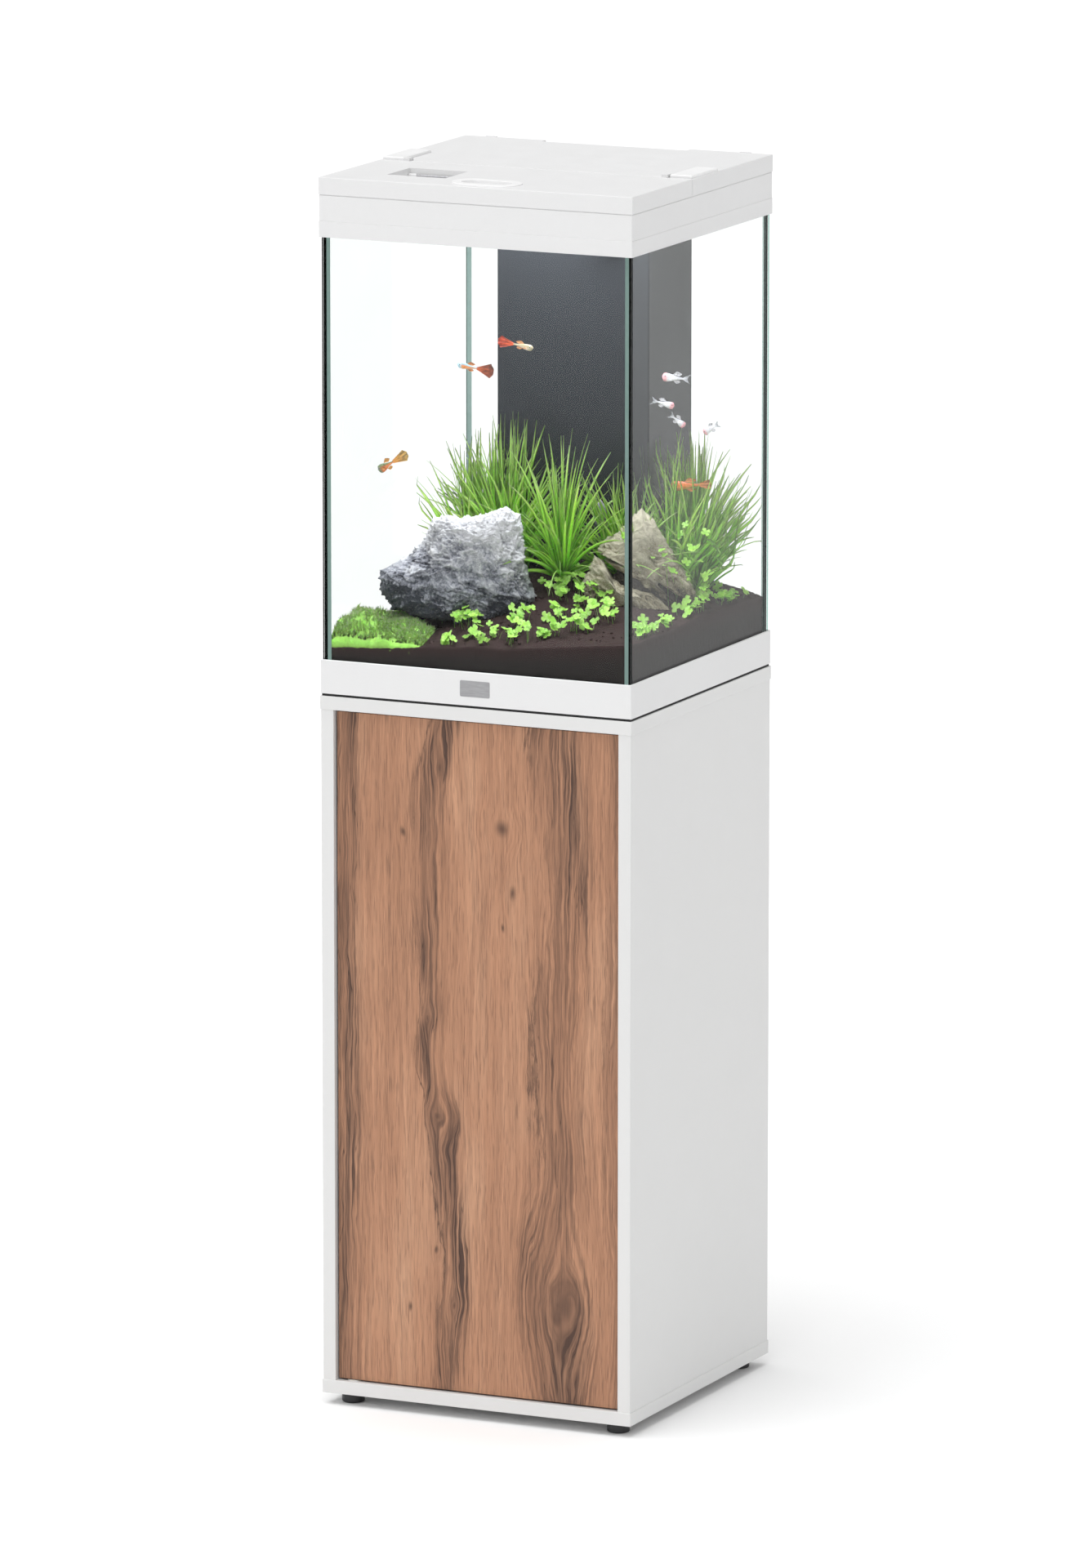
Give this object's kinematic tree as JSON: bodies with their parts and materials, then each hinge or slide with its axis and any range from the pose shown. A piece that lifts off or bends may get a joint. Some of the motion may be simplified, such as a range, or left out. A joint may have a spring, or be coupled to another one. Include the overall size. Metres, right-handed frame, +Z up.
{
  "type": "aquarium on stand",
  "caption": "Square column aquarium with a white hinged hood and an internal filter column, on a white cupboard stand with one inset wood-decor door.",
  "frame": {"origin": "on the floor under the middle of the stand", "axes": "+Z up, -Y towards the door side, +X to the right of a person facing the door"},
  "size_m": [0.4, 0.4, 1.4665],
  "materials": {
    "white_board": "white melamine-coated chipboard, fine pearl texture",
    "door_decor": "printed walnut decor with vertical grain, satin",
    "white_plastic": "white ABS with a fine moulded grain",
    "black_plastic": "black moulded plastic, satin",
    "grey_plastic": "light grey moulded plastic, satin",
    "dark_plastic": "dark grey sheet plastic, glossy",
    "red_plastic": "red moulded plastic with a ribbed rim",
    "nylon": "natural nylon",
    "steel": "zinc-plated or stainless steel",
    "beech": "fluted beech",
    "badge_metal": "brushed grey metal, no mark",
    "lamp_aluminium": "anodised extrusion",
    "lamp_cover": "milky translucent cover",
    "led_board": "white board with yellow light-emitting chips",
    "clear_glass": "float glass with ground, greenish edges",
    "heater_glass": "clear tube",
    "black_silicone": "black silicone sealant",
    "black_rubber": "black rubber",
    "filter_foam": "open-cell filter foam",
    "ceramic_shaft": "polished ceramic",
    "grey_stone": "craggy grey-white stone with dark veins",
    "brown_stone": "layered brown-grey stone",
    "soil": "dark granular planting soil",
    "leaves": "fresh green leaves",
    "fish_skin": "wet skin with translucent fins"
  },
  "bodies": {
    "stand_and_tank": {"foot_glides": "black_plastic", "bottom_panel": "white_board", "top_panel": "white_board", "left_side_panel": "white_board", "right_side_panel": "white_board", "back_panel": "white_board", "cable_grommet": "grey_plastic", "shelf_pins": "steel", "joint_dowels": "beech", "cam_bolts": "steel", "cam_discs": "steel", "pivot_bushes": "nylon", "latch_body": "grey_plastic", "base_mat": "black_rubber", "base_frame": "white_plastic", "base_badge": "badge_metal", "bottom_glass": "clear_glass", "front_glass": "clear_glass", "back_glass": "clear_glass", "left_glass": "clear_glass", "right_glass": "clear_glass", "silicone_seams": "black_silicone", "rim_frame": "white_plastic", "filter_housing": "dark_plastic", "coarse_foam": "filter_foam", "fine_foam": "filter_foam", "foam_tray": "black_plastic", "pump_body": "black_plastic", "pump_shaft": "ceramic_shaft", "heater_tube": "heater_glass", "heater_cap": "black_plastic", "heater_clips": "black_rubber", "grey_stone": "grey_stone", "brown_stones": "brown_stone", "grass_tufts": "leaves", "low_plants": "leaves", "soil_bed": "soil", "fish": "fish_skin"},
    "door": {"door_panel": "door_decor", "door_pivot_pins": "steel", "strike_plate": "steel"},
    "latch_plunger": {"latch_plunger": "grey_plastic"},
    "shelf": {"shelf": "white_board"},
    "hood": {"hood_frame": "white_plastic", "rear_lid": "white_plastic", "hinge_blocks": "white_plastic", "hinge_pins": "steel", "rear_clips": "white_plastic", "lamp_housing": "lamp_aluminium", "lamp_cover": "lamp_cover", "led_strips": "led_board", "lamp_end_caps": "black_plastic", "lamp_brackets": "grey_plastic"},
    "front_flap": {"front_flap": "white_plastic", "grip_ring": "white_plastic", "hatch_pin": "steel"},
    "feed_hatch": {"hatch_cover": "white_plastic"},
    "impeller": {"impeller": "nylon"},
    "outlet_nozzle": {"outlet_nozzle": "black_plastic"},
    "heater_dial": {"heater_dial": "red_plastic"}
  },
  "joints": [
    {"name": "door_swing", "type": "hinge", "parent": "stand_and_tank", "child": "door", "pos_m": [-0.163, -0.1855, 0.433], "axis": [0, 0, -1], "range_deg": [0, 100]},
    {"name": "latch_press", "type": "slide", "parent": "stand_and_tank", "child": "latch_plunger", "axis": [0, 1, 0], "range_m": [0, 0.003], "stiffness_N_per_m": 300},
    {"name": "shelf_lift", "type": "slide", "parent": "stand_and_tank", "child": "shelf", "axis": [0, 0, 1], "range_m": [0, 0.03]},
    {"name": "hood_lift", "type": "slide", "parent": "stand_and_tank", "child": "hood", "axis": [0, 0, 1], "range_m": [0, 0.15]},
    {"name": "flap_hinge", "type": "hinge", "parent": "hood", "child": "front_flap", "pos_m": [0, -0.025, 1.464], "axis": [-1, 0, 0], "range_deg": [0, 100]},
    {"name": "hatch_hinge", "type": "hinge", "parent": "front_flap", "child": "feed_hatch", "pos_m": [-0.0995, -0.0878, 1.4552], "axis": [-1, 0, 0], "range_deg": [0, 100]},
    {"name": "impeller_spin", "type": "hinge", "parent": "stand_and_tank", "child": "impeller", "pos_m": [0.055, 0.11055, 1.35], "axis": [0, 0, 1], "continuous": true},
    {"name": "nozzle_swivel", "type": "hinge", "parent": "stand_and_tank", "child": "outlet_nozzle", "pos_m": [0.055, 0.06, 1.3645], "axis": [0, 1, 0], "range_deg": [-60, 60]},
    {"name": "dial_turn", "type": "hinge", "parent": "stand_and_tank", "child": "heater_dial", "pos_m": [0.016, 0.16455, 1.375], "axis": [0, 0, 1], "range_deg": [0, 270]}
  ]
}
